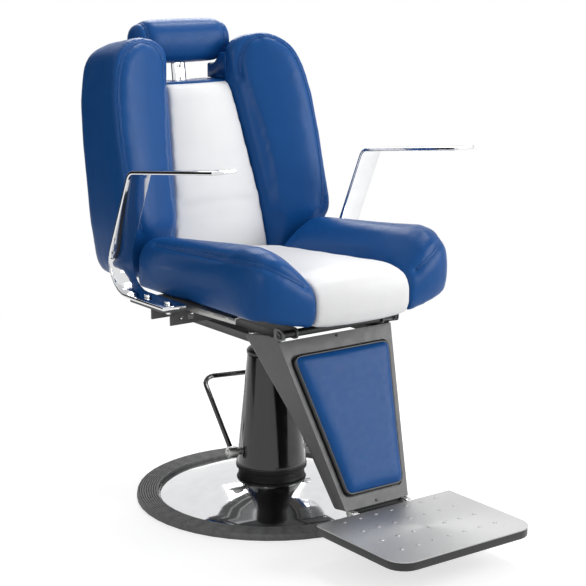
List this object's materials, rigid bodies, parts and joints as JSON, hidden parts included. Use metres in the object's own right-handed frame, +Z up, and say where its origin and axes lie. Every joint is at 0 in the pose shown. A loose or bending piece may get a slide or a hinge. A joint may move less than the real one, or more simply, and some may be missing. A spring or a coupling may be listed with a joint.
{
  "type": "barber chair",
  "caption": "Barber chair on a round pump base: lifting, swivelling seat, reclining winged back with linked legrest, sliding headrest and folding footrest.",
  "frame": {"origin": "centre of the base's underside, on the floor and on the pump's axis", "axes": "+Z up, the chair faces -Y, the sitter's left is +X"},
  "size_m": [0.71, 1.1287, 1.1006],
  "materials": {
    "blue_vinyl": "smooth upholstery vinyl",
    "white_vinyl": "smooth upholstery vinyl",
    "chrome": "polished",
    "stainless": "brushed",
    "steel": "plain",
    "grey_paint": "satin powder coat",
    "black_paint": "satin",
    "black_gloss": "gloss",
    "rubber": "matt, ribbed",
    "plywood": "bare"
  },
  "bodies": {
    "base": {"base_plate": "steel", "base_ring": "rubber", "base_dome": "chrome", "pump_cylinder": "black_paint", "pump_cover": "black_gloss", "cover_cap": "black_paint"},
    "foot_lever": {"lever_stub_left": "steel", "lever_stub_right": "steel", "foot_lever": "black_paint"},
    "piston": {"piston_rod": "chrome", "swivel_bearing": "steel"},
    "seat_frame": {"swivel_hub": "grey_paint", "column_plate": "grey_paint", "seat_rail_left": "grey_paint", "seat_rail_right": "grey_paint", "back_pivot_shaft": "steel", "cross_channel": "grey_paint", "front_cross_bar": "grey_paint", "arm_plate_left": "grey_paint", "arm_plate_right": "grey_paint", "armrest_left": "chrome", "armrest_right": "chrome", "arm_bolt_left_front": "chrome", "arm_bolt_left_rear": "chrome", "arm_bolt_right_front": "chrome", "arm_bolt_right_rear": "chrome", "seat_board": "plywood", "seat_center": "white_vinyl", "seat_bolster_left": "blue_vinyl", "seat_bolster_right": "blue_vinyl"},
    "back": {"back_board": "blue_vinyl", "back_wing_left": "blue_vinyl", "back_wing_right": "blue_vinyl", "back_panel": "white_vinyl", "headrest_sleeve": "steel", "back_hinge_plate": "grey_paint", "back_ear_left": "grey_paint", "back_ear_right": "grey_paint", "crank_rod_rear": "steel"},
    "headrest": {"headrest_bar": "chrome", "headrest_roll": "blue_vinyl"},
    "recline_link": {"recline_link_left": "steel", "recline_link_right": "steel"},
    "legrest": {"legrest_front_plate": "grey_paint", "legrest_side_left": "grey_paint", "legrest_side_right": "grey_paint", "legrest_pad_board": "black_paint", "legrest_pad": "blue_vinyl", "legrest_hinge_tube": "black_paint", "crank_rod_front": "steel", "footrest_lug_left": "steel", "footrest_lug_right": "steel", "footrest_hinge_rod": "steel"},
    "footrest": {"footrest_knuckle": "black_paint", "footrest_tray": "black_paint", "footrest_plate": "stainless"}
  },
  "joints": [
    {"name": "seat_lift", "type": "slide", "parent": "base", "child": "piston", "axis": [0, 0, 1], "range_m": [0, 0.14]},
    {"name": "seat_swivel", "type": "hinge", "parent": "piston", "child": "seat_frame", "pos_m": [0, 0, 0.3839], "axis": [0, 0, 1], "continuous": true},
    {"name": "foot_lever_press", "type": "hinge", "parent": "base", "child": "foot_lever", "pos_m": [0, 0, 0.113], "axis": [-0.9751, 0.2215, 0], "range_deg": [0, 30], "stiffness_Nm_per_rad": 4, "springref_deg": -34.38},
    {"name": "back_recline", "type": "hinge", "parent": "seat_frame", "child": "back", "pos_m": [0, 0.19, 0.4603], "axis": [-1, 0, 0], "range_deg": [0, 60]},
    {"name": "legrest_swing", "type": "hinge", "parent": "seat_frame", "child": "legrest", "pos_m": [0, -0.256, 0.4603], "axis": [-1, 0, 0], "range_deg": [0, 60]},
    {"name": "link_swing", "type": "hinge", "parent": "back", "child": "recline_link", "pos_m": [0, 0.2125, 0.42133], "axis": [-1, 0, 0], "range_deg": [-60, 0]},
    {"name": "headrest_slide", "type": "slide", "parent": "back", "child": "headrest", "axis": [0, 0.1357, 0.9907], "range_m": [0, 0.1]},
    {"name": "footrest_fold", "type": "hinge", "parent": "legrest", "child": "footrest", "pos_m": [0, -0.412, 0.0795], "axis": [-1, 0, 0], "range_deg": [0, 95]}
  ],
  "couplings": [
    {"joint": "legrest_swing", "follows": "back_recline", "ratio": 1},
    {"joint": "link_swing", "follows": "back_recline", "ratio": -1}
  ]
}
